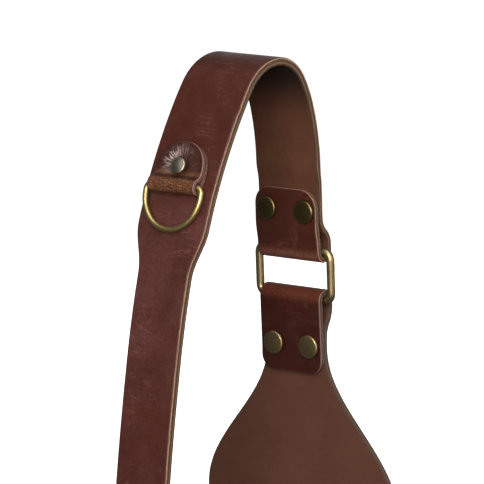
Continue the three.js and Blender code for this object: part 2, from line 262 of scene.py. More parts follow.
class LeatherStrip:
    """A strip cut flat, with a rounded rim, and bent along two lines that part at its top.

    Below 0, s runs down the front line, and above 0 down the back line. outline(s) is its half width, and
    pared(s) the share of its thickness that is left. Each end has rounded corners. step and across set how
    finely it is divided along and across.
    """

    def __init__(self, front, back, thickness, outline, corners, step, across, rim, pared=np.ones_like):
        self.front, self.back, self.thickness, self.outline = front, back, thickness, outline
        self.corners, self.step, self.across, self.pared = corners, step, across, pared
        self.rim = rim_profile(thickness, *rim)
        self.holes = []

    def rows(self):
        """Rows across the strip: half width, s, and how far both draw back for each millimetre of inset."""
        turns = np.linspace(0, np.pi / 2, 13)
        made = []
        for end, radius, side in (
            (-self.front.length, self.corners[0], -1),
            (self.back.length, self.corners[1], 1),
        ):
            centre = end - side * radius
            half = float(self.outline(centre)) - radius
            ways = [(math.sin(a), side * math.cos(a)) for a in turns]
            made.append([(half + radius * nx, centre + radius * ns, nx, ns) for nx, ns in ways])
        low, high = made[0][-1][1], made[1][-1][1]
        count = math.ceil((high - low) / self.step)
        middle = []
        for s in np.linspace(low, high, count + 1)[1:-1]:
            slope = float(self.outline(s + 0.5) - self.outline(s - 0.5))
            size = math.hypot(1, slope)
            middle.append((float(self.outline(s)), s, 1 / size, -slope / size))
        return np.array(made[0] + middle + made[1][::-1])

    def lay_flat(self):
        """The flat points, faces and each face's kind."""
        rows = self.rows()
        shares = np.linspace(-1, 1, self.across + 1)
        points, faces, kinds = [], [], []

        def add(x, s, w):
            points.append((x, s, w))
            return len(points) - 1

        def skin(a, b, c, d, kind):
            faces.append((a, b, c, d))
            kinds.append(kind)

        def sheet_rows(inset, w):
            """One side's vertices, row by row."""
            return [
                [add(u * (half - inset * nx), s - inset * ns, w) for u in shares] for half, s, nx, ns in rows
            ]

        grain = sheet_rows(*self.rim[0])
        flesh = sheet_rows(*self.rim[-1])
        between = self.rim[1:-1]
        sides = {}
        for side, column in ((-1, 0), (1, self.across)):
            sides[side] = [
                [grain[i][column]]
                + [add(side * (half - e * nx), s - e * ns, w) for e, w in between]
                + [flesh[i][column]]
                for i, (half, s, nx, ns) in enumerate(rows)
            ]
        skipped = self.hole_cells(grain, points)
        for i in range(len(rows) - 1):
            for j in range(self.across):
                if (i, j) in skipped:
                    continue
                for layer, kind in ((grain, GRAIN), (flesh, FLESH)):
                    skin(layer[i][j], layer[i][j + 1], layer[i + 1][j + 1], layer[i + 1][j], kind)
            for column in sides.values():
                for k in range(len(self.rim) - 1):
                    skin(column[i][k], column[i][k + 1], column[i + 1][k + 1], column[i + 1][k], EDGE)
        for i in (0, len(rows) - 1):
            half, s, _, ns = rows[i]
            ladder = [grain[i]]
            for k, (e, w) in enumerate(between, start=1):
                inner = [add(u * half, s - e * ns, w) for u in shares[1:-1]]
                ladder.append([sides[-1][i][k], *inner, sides[1][i][k]])
            ladder.append(flesh[i])
            for upper, lower in zip(ladder, ladder[1:]):
                for j in range(self.across):
                    skin(upper[j], upper[j + 1], lower[j + 1], lower[j], EDGE)
        for block, x, s, radius in self.found_holes:
            self.bore(block, x, s, radius, grain, flesh, points, add, skin)
        return np.array(points), faces, kinds

    def hole_cells(self, grain, points):
        """The grid cells that the holes take out. Keeps each hole's block of rows and columns."""
        self.found_holes = []
        skipped = set()
        for x, s, radius in self.holes:
            room = radius + HOLE_ROOM
            row_s = np.array([points[row[0]][1] for row in grain])
            i0 = int(np.searchsorted(row_s, s - room)) - 1
            i1 = int(np.searchsorted(row_s, s + room))
            row_x = np.array([points[v][0] for v in grain[(i0 + i1) // 2]])
            j0 = int(np.searchsorted(row_x, x - room)) - 1
            j1 = int(np.searchsorted(row_x, x + room))
            self.found_holes.append(((i0, i1, j0, j1), x, s, radius))
            skipped |= {(i, j) for i in range(i0, i1) for j in range(j0, j1)}
        return skipped

    def bore(self, block, x, s, radius, grain, flesh, points, add, skin):
        """Joins a block's border to a round hole with a softened rim, through to the other side."""
        i0, i1, j0, j1 = block
        border = [(i0, j) for j in range(j0, j1)] + [(i, j1) for i in range(i0, i1)]
        border += [(i1, j) for j in range(j1, j0, -1)] + [(i, j0) for i in range(i1, i0, -1)]
        angles = [
            math.atan2(points[grain[i][j]][1] - s, points[grain[i][j]][0] - x) for i, j in border
        ]
        half, soft = self.thickness / 2, HOLE_SOFTENING
        rings = [[grain[i][j] for i, j in border]]
        for reach, w in ((soft, half), (0, half - soft), (0, soft - half), (soft, -half)):
            r = radius + reach
            rings.append([add(x + r * math.cos(a), s + r * math.sin(a), w) for a in angles])
        rings.append([flesh[i][j] for i, j in border])
        kinds = (GRAIN, EDGE, EDGE, EDGE, FLESH)
        for outer, inner, kind in zip(rings, rings[1:], kinds):
            for k in range(len(border)):
                after = (k + 1) % len(border)
                skin(outer[k], outer[after], inner[after], inner[k], kind)

    def bent(self, flat):
        """Flat points carried onto the bent lines."""
        x, s, w = flat.T
        w = w * self.pared(s)
        side = np.where(s < 0, -1, 1)
        y, z, heading = np.where(s < 0, self.front.at(np.abs(s)), self.back.at(np.abs(s)))
        way = np.radians(heading)
        return np.stack([x, y - side * w * np.cos(way), z + side * w * np.sin(way)], axis=1)

    def bentness(self, flat):
        s = flat[:, 1]
        return np.where(s < 0, self.front.bentness(np.abs(s)), self.back.bentness(np.abs(s)))

    def flat_area(self):
        """The cut's area in square metres."""
        half, s = self.rows()[:, :2].T
        return float(np.sum((half[1:] + half[:-1]) * np.diff(s))) * MM * MM

    def flat_size(self):
        width = 2 * float(np.max(self.rows()[:, 0]))
        return width * MM, (self.front.length + self.back.length) * MM

    def build(self, name, matrix, materials, press, extra=lambda flat: []):
        flat, faces, kinds = self.lay_flat()
        placed = press(self.bent(flat), flat)
        rotation = np.array(matrix.to_3x3())
        placed = placed @ rotation.T + np.array(matrix.translation)
        stretch = np.clip(self.bentness(flat) / FULL_STRETCH, 0, 1)
        attributes = [("flat", "FLOAT_VECTOR", flat * MM), ("stretch", "FLOAT", stretch)]
        return new_object(name, placed, faces, materials, kinds, attributes + extra(flat))


def grain_share(flat, thickness):
    """1 on the grain side, fading to 0 at the middle of the thickness."""
    return np.clip(flat[:, 2] / (thickness / 2), 0, 1)


def press_rivets(points, flat, thickness, rivets, caps):
    """Leather gives way under each rivet's caps and dips round them.

    rivets are (x, z, back seat, front seat), and caps the radii of the front and back caps.
    """
    pressed = points.copy()
    grain = grain_share(flat, thickness)
    for x, z, back, front in rivets:
        away = np.hypot(points[:, 0] - x, points[:, 2] - z)
        for seat, side, radius in ((front, -1, caps[0]), (back, 1, caps[1])):
            past = np.maximum(away - radius - GAP, 0)
            dip = RIVET_DIP * np.exp(-((past / RIVET_DIP_SPREAD) ** 2))
            allowed = RIVET_RISE * past**2
            out = side * (pressed[:, 1] - seat)
            near = (away < radius + RIVET_REACH) & (out > RIVET_DEPTH)
            sunk = np.minimum(out, allowed) - dip
            pressed[:, 1] = np.where(near, seat + side * lerp(out, sunk, grain), pressed[:, 1])
    return pressed


# ---- the strap ----

joint_at = {j["name"]: Vector(j["pos_m"]) / MM for j in frame["joints"]}
strap_front = BentLine(0, LEATHER / 2, -90)
for run, turned_by in FRONT_BENDS:
    strap_front.bend(run, -turned_by)

fold_radius = LINK_WIRE / 2 + GAP + SKIVED / 2
stack_pitch = SKIVED + GAP
strap_back = BentLine(0, LEATHER / 2, 90)
for run, turned_by in BACK_BENDS:
    strap_back.bend(run, turned_by)
skive_start = strap_back.length
strap_back.joggle(*SKIVE_JOGGLE)
strap_back.bend(RIVETED_RUN, 0)
strap_back.joggle(*LEG_JOGGLE)
strap_back.bend(FOOT, 0)
strap_back.bend(math.pi * fold_radius, 180)
strap_back.joggle(FLAP_JOGGLE_HEIGHT, 2 * fold_radius - LEG_JOGGLE[1] - stack_pitch)
strap_back.bend(STRAP_FLAP_REACH - FLAP_JOGGLE_HEIGHT, 0)


def strap_outline(s):
    start, end = NARROWING
    chest = lerp(TAIL_WIDTH, CHEST_WIDTH, ease((s - start) / (end - start)))
    start, end = CROWN_NARROWING
    return lerp(chest, BACK_WIDTH, ease((s - start) / (end - start))) / 2


def strap_pared(s):
    return lerp(1, SKIVED / LEATHER, ease((s - skive_start) / SKIVE_JOGGLE[0]))


# A frame at the middle of the link's upper bar that leans with the back leg
link_frame = Matrix.Translation(joint_at["link_swing"]) @ Matrix.Rotation(math.radians(LEAN), 4, "X")
leg_seat = fold_radius - LEG_JOGGLE[1] + SKIVED / 2
stack = SKIVED + stack_pitch
strap_rivets = [
    (RIVETS_OFF_CENTRE + side * STRAP_RIVET[0], STRAP_RIVET[1], leg_seat, leg_seat - stack)
    for side in (-1, 1)
]

# ---- the panel, in the link's frame ----

lower_bar = -LINK_INSIDE[1] - LINK_WIRE
panel_top = lower_bar + fold_radius
panel_flap = BentLine(0, panel_top, -90)
panel_flap.bend(math.pi / 2 * fold_radius, -90)
panel_flap.joggle(PANEL_JOGGLE[0], 2 * fold_radius + PANEL_JOGGLE[1] - stack_pitch)
panel_flap.bend(PANEL_FLAP_REACH - PANEL_JOGGLE[0], 0)
panel_back = BentLine(0, panel_top, 90)
panel_back.bend(math.pi / 2 * fold_radius, 90)
panel_leg_start = panel_back.length
panel_back.bend(FOOT, 0)
panel_back.joggle(*PANEL_JOGGLE)
joggle_drop = FOOT + PANEL_JOGGLE[0]
joggle_extra = panel_back.length - panel_leg_start - joggle_drop
panel_back.bend(PANEL_DROP - joggle_drop, 0)
panel_seat = panel_back.end[0] + SKIVED / 2
panel_rivets = [
    (RIVETS_OFF_CENTRE + side * PANEL_RIVET[0], lower_bar - PANEL_RIVET[1], panel_seat, panel_seat - stack)
    for side in (-1, 1)
]


def panel_outline(s):
    neck = lerp(PANEL_FLAP_WIDTH, NECK_WIDTH, ease(s / (panel_leg_start + SHOULDER[0])))
    drop = s - panel_leg_start - joggle_extra
    return lerp(neck, PANEL_WIDTH, ease((drop - SHOULDER[0]) / SHOULDER[1])) / 2


# ---- the D-ring's tab, in a frame that lies on the strap with its rivet's foot at the origin ----

tab_fold = D_WIRE / 2 + GAP + TAB_LEATHER / 2
tab_pitch = TAB_LEATHER + GAP
tab_base = -GAP - TAB_LEATHER / 2
tab_under = BentLine(tab_base, -TAB_BAR, 0).bend(TAB_BAR + TAB_HEAD, 0)
tab_over = BentLine(tab_base, -TAB_BAR, 180)
tab_over.bend(math.pi * tab_fold, 180)
tab_over.joggle(TAB_JOGGLE_HEIGHT, 2 * tab_fold - tab_pitch)
tab_over.bend(TAB_BAR + TAB_HEAD - TAB_JOGGLE_HEIGHT, 0)
tab_stack = LEATHER + 2 * tab_pitch
tab_rivet_s = tab_over.length - TAB_HEAD

seat_y, seat_z, seat_heading = (float(v) for v in strap_front.at(TAB_RIVET_AT))
tab_slope = math.radians(-seat_heading - 180)
seat_out = Vector((0, -math.cos(tab_slope), -math.sin(tab_slope)))
tab_frame = Matrix.Translation(Vector((0, seat_y, seat_z)) + seat_out * LEATHER / 2)
tab_frame = tab_frame @ Matrix.Rotation(tab_slope, 4, "X")
d_bar = Vector((0, tab_base - tab_fold, -TAB_BAR))


def tab_outline(s):
    return TAB_WIDTH / 2


def press_tab(points, flat):
    """The head dishes towards its rivet and stands up in a soft ridge round it."""
    away = np.hypot(points[:, 0], points[:, 2])
    over = grain_share(flat, TAB_LEATHER) * (flat[:, 1] > tab_fold)
    past = np.maximum(away - TAB_CAP[0] - TAB_DISH_START, 0)
    depth, spread = TAB_DISH
    dish = depth * np.exp(-((past / spread) ** 2))
    height, radius, spread = TAB_RIDGE
    ridge = height * np.exp(-(((away - radius) / spread) ** 2))
    dished = points.copy()
    dished[:, 1] += over * (dish - ridge)
    return dished


def tab_gathers(flat):
    """Where the tab's grain gathers: mostly an arc at the upper left of its rivet, in polar coordinates. Its
    share sets both the ridges' bump and their painted highlight.
    """
    x, s = flat[:, 0], flat[:, 1] - tab_rivet_s
    radius = np.hypot(x, s)
    angle = np.arctan2(x, s)
    middle, spread = TAB_GATHER_BAND
    band = np.exp(-(((radius - middle) / spread) ** 2))
    side = sum(share * np.exp(-(((angle - centre) / width) ** 2)) for centre, width, share in TAB_GATHERS)
    polar = np.stack([angle * TAB_GATHER_ROUND * MM, radius * MM, np.zeros_like(x)], axis=1)
    share = np.clip(band * side, 0, 1) * (flat[:, 2] > 0)
    return [("round", "FLOAT_VECTOR", polar), ("gather", "FLOAT", share)]


def press_strap(points, flat):
    """The link's rivets press in the link's frame, so the points go there and back."""
    turn = np.array(link_frame.to_3x3())
    origin = np.array(link_frame.translation)
    local = (points - origin) @ turn
    hanging = flat[:, 1] > skive_start
    pressed = press_rivets(local, flat, LEATHER, strap_rivets, (RIVET_CAP[0], RIVET_BACK[0]))
    return np.where(hanging[:, None], pressed, local) @ turn.T + origin


def press_panel(points, flat):
    return press_rivets(points, flat, SKIVED, panel_rivets, (RIVET_CAP[0], RIVET_BACK[0]))


# ---- materials ----


def rgb(code):
    """A linear colour from an sRGB hex code."""
    parts = [int(code[i : i + 2], 16) / 255 for i in (1, 3, 5)]
    linear = [c / 12.92 if c <= 0.04045 else ((c + 0.055) / 1.055) ** 2.4 for c in parts]
    return (*linear, 1.0)


class Finish:
    """A material with one Principled shader, and short calls for the nodes that drive it."""

    def __init__(self, name, **fixed):
        self.material = bpy.data.materials.new(name)
        self.material.use_nodes = True
        self.tree = self.material.node_tree
        self.shader = self.tree.nodes["Principled BSDF"]
        for label, value in fixed.items():
            self.shader.inputs[label.replace("_", " ")].default_value = value

    def node(self, kind, inputs=None, out=0, **settings):
        made = self.tree.nodes.new(kind)
        for label, value in settings.items():
            setattr(made, label, value)
        for label, value in (inputs or {}).items():
            self.feed(made.inputs[label], value)
        return made.outputs[out]

    def feed(self, socket, value):
        if isinstance(value, bpy.types.NodeSocket):
            self.tree.links.new(value, socket)
        else:
            socket.default_value = value

    def drive(self, label, value):
        self.feed(self.shader.inputs[label], value)

    def attribute(self, label, out="Vector"):
        return self.node("ShaderNodeAttribute", out=out, attribute_name=label)

    def place(self):
        """The point on the object, in metres."""
        return self.node("ShaderNodeTexCoord", out="Object")

    def stretched(self, vector, scale, turn=(0, 0, 0)):
        return self.node("ShaderNodeMapping", {"Vector": vector, "Scale": scale, "Rotation": turn})

    def noise(self, vector, scale, detail=3.0, roughness=0.5, distortion=0.0):
        settings = {"Vector": vector, "Scale": scale, "Detail": detail}
        return self.node("ShaderNodeTexNoise", {**settings, "Roughness": roughness, "Distortion": distortion})

    def cells(self, vector, scale):
        return self.node("ShaderNodeTexVoronoi", {"Vector": vector, "Scale": scale})

    def reach(self, value, low, high, to_low=0.0, to_high=1.0):
        settings = {"Value": value, "From Min": low, "From Max": high, "To Min": to_low, "To Max": to_high}
        return self.node("ShaderNodeMapRange", settings, interpolation_type="SMOOTHSTEP")

    def sum(self, operation, a, b, clamp=False):
        return self.node("ShaderNodeMath", {0: a, 1: b}, operation=operation, use_clamp=clamp)

    def mix(self, share, a, b):
        return self.node("ShaderNodeMix", {0: share, 6: a, 7: b}, out=2, data_type="RGBA")

    def creases(self, vector, scale, width, distortion=1.5):
        """Thin wandering lines, 1 along them and 0 between."""
        wave = self.noise(vector, scale, 3.0, 0.55, distortion)
        off = self.sum("ABSOLUTE", self.sum("SUBTRACT", wave, 0.5), 0.0)
        return self.reach(off, 0.0, width, 1.0, 0.0)

    def bump(self, height, strength, depth, under=None):
        """depth is how far the height's whole range stands out, in metres."""
        inputs = {"Height": height, "Strength": strength, "Distance": depth}
        if under is not None:
            inputs["Normal"] = under
        return self.node("ShaderNodeBump", inputs)


def grain_finish(name, deep, mid, pulled, gloss, shade_and_darkening=(), wrinkle_highlight=None, cracked=(0.35, 0.75, 0.25, 1.6)):
    """Waxed grain: mottled colour, pores, fine creases and scratches, paler and cracked where it folds.

    shade_and_darkening holds spans of s, in metres, over which the colour darkens, each with its share and
    colour;
    on the strap they paint shade over the crown and on the flap. wrinkle_highlight is the colour of a painted
    highlight on the ridges that gather round a rivet. cracked is the span of noise over which a fold cracks,
    the least share that pales, and how far the cracks stand out.
    """
    f = Finish(name, Specular_IOR_Level=0.4)
    flat = f.attribute("flat")
    bend = f.attribute("stretch", "Fac")
    stretch = f.sum("MULTIPLY", bend, bend)
    cloud = f.noise(flat, 45, 4.0, 0.6)
    mottle = f.noise(flat, 700, 3.0, 0.6)
    clouded = f.reach(cloud, 0.25, 0.75, 0.25, 0.75)
    tone = f.sum("ADD", clouded, f.reach(mottle, 0.2, 0.8, -0.22, 0.22), clamp=True)
    colour = f.mix(tone, rgb(deep), rgb(mid))
    # each span darkens the colour towards its own; on the strap that is painted shade, and plain darkening
    # low on the tail
    for start, end, share, darker_colour in shade_and_darkening:
        along_strip = f.node("ShaderNodeSeparateXYZ", {"Vector": flat}, out="Y")
        colour = f.mix(f.reach(along_strip, start, end, 0.0, share), colour, rgb(darker_colour))
    crease = f.creases(f.stretched(flat, (0.3, 1.5, 1)), 150, 0.022, 0.7)
    patch = f.reach(f.noise(flat, 38, 2.0), 0.44, 0.62)
    fine = f.sum("MULTIPLY", crease, patch)
    scratch = f.creases(f.stretched(flat, (1, 0.12, 1), (0, 0, 0.9)), 210, 0.012, 0.4)
    scratch = f.sum("MULTIPLY", scratch, f.reach(f.noise(flat, 60, 2.0), 0.55, 0.7))
    marks = f.sum("MAXIMUM", fine, scratch)
    colour = f.mix(f.sum("MULTIPLY", marks, 0.2), colour, rgb(pulled))
    cracks = f.noise(f.stretched(flat, (1, 2.2, 1)), 900, 4.0, 0.7, 0.6)
    crack_low, crack_high, least, relief = cracked
    pulled_share = f.sum("MULTIPLY", stretch, f.reach(cracks, crack_low, crack_high, least, 1.0))
    colour = f.mix(pulled_share, colour, rgb(pulled))
    lines = f.sum("ADD", marks, f.sum("MULTIPLY", cracks, f.sum("MULTIPLY", stretch, relief)))
    # the ridges where the grain gathers: a bump, and a light painted highlight in the colour
    if wrinkle_highlight is not None:
        ridges = f.noise(f.stretched(f.attribute("round"), (1, 0.2, 1)), 1250, 3.0, 0.6, 0.4)
        ridges_and_highlight = f.sum("MULTIPLY", f.reach(ridges, 0.4, 0.64), f.attribute("gather", "Fac"))
        colour = f.mix(ridges_and_highlight, colour, rgb(wrinkle_highlight))
        lines = f.sum("ADD", lines, f.sum("MULTIPLY", ridges_and_highlight, 2.0))
    f.drive("Base Color", colour)
    rough = f.reach(f.noise(flat, 160, 3.0), 0.3, 0.7, gloss - 0.05, gloss + 0.08)
    f.drive("Roughness", f.sum("ADD", rough, f.sum("MULTIPLY", marks, 0.08)))
    pores = f.cells(flat, 1900)
    skin = f.sum("ADD", pores, f.sum("MULTIPLY", mottle, 0.8))
    low = f.bump(skin, 0.16, 0.00012)
    f.drive("Normal", f.bump(lines, 0.5, 0.00012, low))
    return f.material


def flesh_finish(name, deep, mid, crown_shade_span=None):
    """The smoothed flesh side: matte, with short fibres along the strip.

    crown_shade_span is a span of distance from the crown, in metres, over which it gets darker: painted shade
    under the crown.
    """
    f = Finish(name, Specular_IOR_Level=0.25)
    flat = f.attribute("flat")
    cloud = f.noise(flat, 40, 3.0, 0.55)
    fibre = f.noise(f.stretched(flat, (1, 0.35, 1)), 1300, 4.0, 0.65)
    clouded = f.reach(cloud, 0.25, 0.75, 0.3, 0.7)
    tone = f.sum("ADD", clouded, f.reach(fibre, 0.2, 0.8, -0.3, 0.3), clamp=True)
    colour = f.mix(tone, rgb(deep), rgb(mid))
    # painted shade: the flesh darkens near the crown, where it lies under the arch
    if crown_shade_span is not None:
        along_strip = f.node("ShaderNodeSeparateXYZ", {"Vector": flat}, out="Y")
        from_crown = f.sum("ABSOLUTE", along_strip, 0.0)
        colour = f.mix(f.reach(from_crown, *crown_shade_span, 0.0, 0.9), colour, rgb("#130804"))
    f.drive("Base Color", colour)
    f.drive("Roughness", f.reach(fibre, 0.2, 0.8, 0.62, 0.8))
    f.drive("Normal", f.bump(fibre, 0.3, 0.00015))
    return f.material


def edge_finish(name, thickness, grain, bevel_highlight, core, dark):
    """A cut edge: grain colour at its corner, a painted highlight line, a fibrous core, a fainter painted
    highlight line and a dark corner.
    """
    f = Finish(name, Specular_IOR_Level=0.4)
    flat = f.attribute("flat")
    depth = f.node("ShaderNodeSeparateXYZ", {"Vector": flat}, out="Z")
    half = thickness / 2 * MM
    fibre = f.noise(f.stretched(flat, (1, 0.3, 1.6)), 2600, 4.0, 0.7)
    wander = f.sum("MULTIPLY", f.sum("SUBTRACT", f.noise(flat, 330, 3.0), 0.5), 0.9 * MM)
    at = f.sum("ADD", depth, wander)

    def line(*shares):
        """A line along the edge, from where it starts to where it has faded, as shares of half."""
        start, full, fade, gone = (half * share for share in shares)
        return f.sum("MULTIPLY", f.reach(at, start, full), f.reach(at, fade, gone, 1, 0))

    colour = f.mix(f.reach(fibre, 0.3, 0.72), rgb(dark), rgb(core))
    # painted highlights: a light line near the grain side's corner and a fainter one towards the flesh side
    top = line(0.45, 0.62, 0.8, 0.94)
    fainter = f.sum("MULTIPLY", line(-0.5, -0.36, -0.3, -0.1), 0.55)
    highlight_lines = f.sum("MULTIPLY", f.sum("MAXIMUM", top, fainter), 0.85)
    colour = f.mix(highlight_lines, colour, rgb(bevel_highlight))
    colour = f.mix(f.reach(depth, half * 0.84, half * 0.95), colour, rgb(grain))
    corner = f.reach(at, -half * 0.62, -half * 0.9)
    f.drive("Base Color", f.mix(f.sum("MULTIPLY", corner, 0.8), colour, rgb(dark)))
    f.drive("Roughness", f.reach(fibre, 0.2, 0.8, 0.45, 0.7))
    f.drive("Normal", f.bump(fibre, 0.5, 0.0002))
    return f.material


def brass_finish(name, patina, metal, worn, rough):
    """Antique brass: dark patina left in patches, rubbed bright where the wear attribute says."""
    f = Finish(name, Metallic=1.0)
    place = f.place()
    wear = f.attribute("wear", "Fac")
    patches = f.noise(place, 260, 5.0, 0.65)
    specks = f.noise(place, 2400, 3.0, 0.6)
    tone = f.reach(f.sum("ADD", patches, f.sum("MULTIPLY", specks, 0.35)), 0.42, 0.86)
    colour = f.mix(tone, rgb(patina), rgb(metal))
    rubbed = f.sum("MULTIPLY", wear, f.reach(patches, 0.3, 0.6, 0.55, 1.0))
    f.drive("Base Color", f.mix(rubbed, colour, rgb(worn)))
    dull = f.reach(patches, 0.35, 0.7, rough + 0.12, rough - 0.05)
    f.drive("Roughness", f.sum("SUBTRACT", dull, f.sum("MULTIPLY", wear, 0.08)))
    hair = f.noise(f.stretched(place, (1, 1, 0.15)), 3500, 2.0)
    f.drive("Normal", f.bump(f.sum("ADD", specks, hair), 0.12, 0.00008))
    return f.material


# ---- wire rings ----


def arc_points(centre, radius, start, end, steps):
    return [
        (centre[0] + radius * math.cos(a), centre[1] + radius * math.sin(a))
        for a in np.radians(np.linspace(start, end, steps + 1))
    ]


def run_points(start, end, step=1.0):
    """Points along a straight run, without its ends."""
    count = math.ceil(math.dist(start, end) / step)
    return [tuple(lerp(np.array(start), np.array(end), i / count)) for i in range(1, count)]


def joined(*corners):
    """Corner arcs joined by straight runs."""
    path = list(corners[0])
    for arc in corners[1:]:
        path += run_points(path[-1], arc[0]) + list(arc)
    return path


def link_path():
    """Round the link from its butt joint, with the middle of the upper bar at the origin."""
    half = (LINK_INSIDE[0] + LINK_WIRE) / 2
    drop = LINK_INSIDE[1] + LINK_WIRE
    corner = LINK_CORNER + LINK_WIRE / 2
    return joined(
        [(BUTT_JOINT / 2, 0)],
        arc_points((half - corner, -corner), corner, 90, 0, 16),
        arc_points((half - corner, corner - drop), corner, 0, -90, 16),
        arc_points((corner - half, corner - drop), corner, -90, -180, 16),
        arc_points((corner - half, -corner), corner, 180, 90, 16),
        [(-BUTT_JOINT / 2, 0)],
    )


def d_path():
    """Round the D from its butt joint, with the middle of its bar at the origin and its bow below."""
    half = (D_INSIDE[0] + D_WIRE) / 2
    drop = D_INSIDE[1] + D_WIRE
    corner = D_CORNER + D_WIRE / 2
    return joined(
        [(BUTT_JOINT / 2, 0)],
        arc_points((half - corner, -corner), corner, 90, 0, 12),
        arc_points((0, half - drop), half, 0, -180, 64),
        arc_points((corner - half, -corner), corner, 180, 90, 12),
        [(-BUTT_JOINT / 2, 0)],
    )


def wire_ring(name, path, wire, matrix, material, sides=28):
    """A round wire along a path in the XZ plane, with two flat ends at its butt joint."""
    centres = np.array([(x, 0, z) for x, z in path])
    ways = np.gradient(centres, axis=0)
    ways /= np.linalg.norm(ways, axis=1)[:, None]
    across = np.stack([ways[:, 2], np.zeros(len(ways)), -ways[:, 0]], axis=1)
    angles = np.linspace(0, 2 * np.pi, sides, endpoint=False)
    outward = np.array([0, 1, 0])
    points = [
        centre + wire / 2 * (math.cos(a) * aside + math.sin(a) * outward)
        for centre, aside in zip(centres, across)
        for a in angles
    ]
    faces = []
    for ring in range(0, (len(path) - 1) * sides, sides):
        for k in range(sides):
            after = (k + 1) % sides
            faces.append((ring + k, ring + after, ring + sides + after, ring + sides + k))
    last = (len(path) - 1) * sides
    faces += [tuple(range(sides)), tuple(range(last, last + sides))]
    placed = [np.array(matrix @ Vector(p)) for p in points]
    wear = [0.5 + 0.5 * abs(math.sin(a)) for _ in centres for a in angles]
    return new_object(name, placed, faces, [material], attributes=[("wear", "FLOAT", wear)])


# ---- rivets ----


def turned(name, profile, wear, matrix, material, sides=56):
    """A turned solid round Y from (radius, y) points that start and end on the axis."""
    points, worn, rings = [], [], []
    for (radius, y), rubbed in zip(profile, wear):
        count = sides if radius > 0 else 1
        rings.append(range(len(points), len(points) + count))
        for k in range(count):
            a = 2 * math.pi * k / sides
            points.append(np.array(matrix @ Vector((radius * math.cos(a), y, radius * math.sin(a)))))
            worn.append(rubbed)
    faces = []
    for a, b in zip(rings, rings[1:]):
        for k in range(sides):
            after = k + 1
            around = [a[k % len(a)], a[after % len(a)], b[after % len(b)], b[k % len(b)]]
            faces.append(tuple(dict.fromkeys(around)))
    return new_object(name, points, faces, [material], attributes=[("wear", "FLOAT", worn)])


def cap_profile(radius, height, crown, sink):
    """A cap with its seat at y = -sink, a rounded rim and a low crown, and how worn each point is."""
    socket, depth, flat = POST_RADIUS + GAP, height / 2, radius - CAP_RIM
    profile = [(0, depth), (socket, depth), (socket, -sink), (radius - CAP_FOOT, -sink)]
    profile.append((radius, CAP_FOOT - sink))
    wear = [0, 0, 0, 0, 0.1]
    for a in np.linspace(0, math.pi / 2, 9):
        profile.append((flat + CAP_RIM * math.cos(a), height - crown - CAP_RIM + CAP_RIM * math.sin(a)))
        wear.append(0.25 + 0.75 * math.sin(2 * a))
    for share in np.linspace(1, 0, 9)[1:]:
        profile.append((flat * share, height - crown * share**2))
        wear.append(0.35 * share**4)
    return profile, wear


def post_profile(radius, height, reach):
    """A thin back cap at y < 0 with a post that reaches into the other cap's socket."""
    flat = radius - BACK_RIM
    profile = [(0, -height), (flat - BACK_RIM, -height)]
    for a in np.linspace(0, math.pi / 2, 6):
        profile.append((flat + BACK_RIM * math.sin(a), BACK_RIM * (1 - math.cos(a)) - height))
    profile += [(radius, 0), (POST_RADIUS, 0), (POST_RADIUS, reach), (0, reach)]
    wear = [0.1, 0.2] + [0.9] * 6 + [0.2, 0, 0, 0]
    return profile, wear


# ---- the pieces ----

# Spans of s where the strap's colour darkens: painted shade from high on the front leg over the crown and
# down the back, deeper painted shade on the flap, and darker low on the tail
STRAP_SHADE_AND_DARKENING = (
    (-0.09, -0.055, 0.78, "#401809"),
    (-0.15, -0.19, 0.4, "#401809"),
    (0.085, 0.115, 0.85, "#3d180b"),
)

strap_materials = [
    grain_finish("strap_grain", "#3a170f", "#5c332d", "#8a5646", 0.42, STRAP_SHADE_AND_DARKENING),
    edge_finish("strap_edge", LEATHER, "#47211a", "#a57f69", "#694729", "#2a190c"),
    # its flesh darkens under the crown: painted shade
    flesh_finish("strap_flesh", "#482818", "#5e3927", (0.048, 0.018)),
]
panel_materials = [
    grain_finish("panel_grain", "#2c0b04", "#3a1107", "#65301b", 0.44),
    edge_finish("panel_edge", SKIVED, "#34130d", "#8a685a", "#5c4234", "#2e1f17"),
    flesh_finish("panel_flesh", "#4e2c20", "#5d3a2b"),
]
tab_materials = [
    # the tab's ridges round its rivet carry a light-coloured painted highlight
    grain_finish(
        "tab_grain", "#2a0f08", "#3c180c", "#835639", 0.38, wrinkle_highlight="#bba59f", cracked=(0.46, 0.6, 0.12, 3.0)
    ),
    edge_finish("tab_edge", TAB_LEATHER, "#3f170d", "#a07c72", "#7c5648", "#3a2016"),
    flesh_finish("tab_flesh", "#4a2c1f", "#6a4535"),
]
ring_brass = brass_finish("d_ring_metal", "#7d6a42", "#a48b58", "#bfa76e", 0.44)
link_brass = brass_finish("link_metal", "#57482f", "#87724a", "#b39e74", 0.4)
# the flap's caps and the posts take a darker copy of the rivet brass, painted shade; the panel's caps a paler
# copy, painted light
rivet_brass = brass_finish("rivet_metal", "#453a26", "#665838", "#857348", 0.4)
lit_rivet_brass = brass_finish("lit_panel_rivet_metal", "#5a4f35", "#8a7a54", "#a08c60", 0.46)
pale_brass = brass_finish("tab_rivet_metal", "#6a6456", "#8f8878", "#a89f8e", 0.42)


def fit(piece, body, slot, *nodes):
    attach(piece, body)
    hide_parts(*nodes)


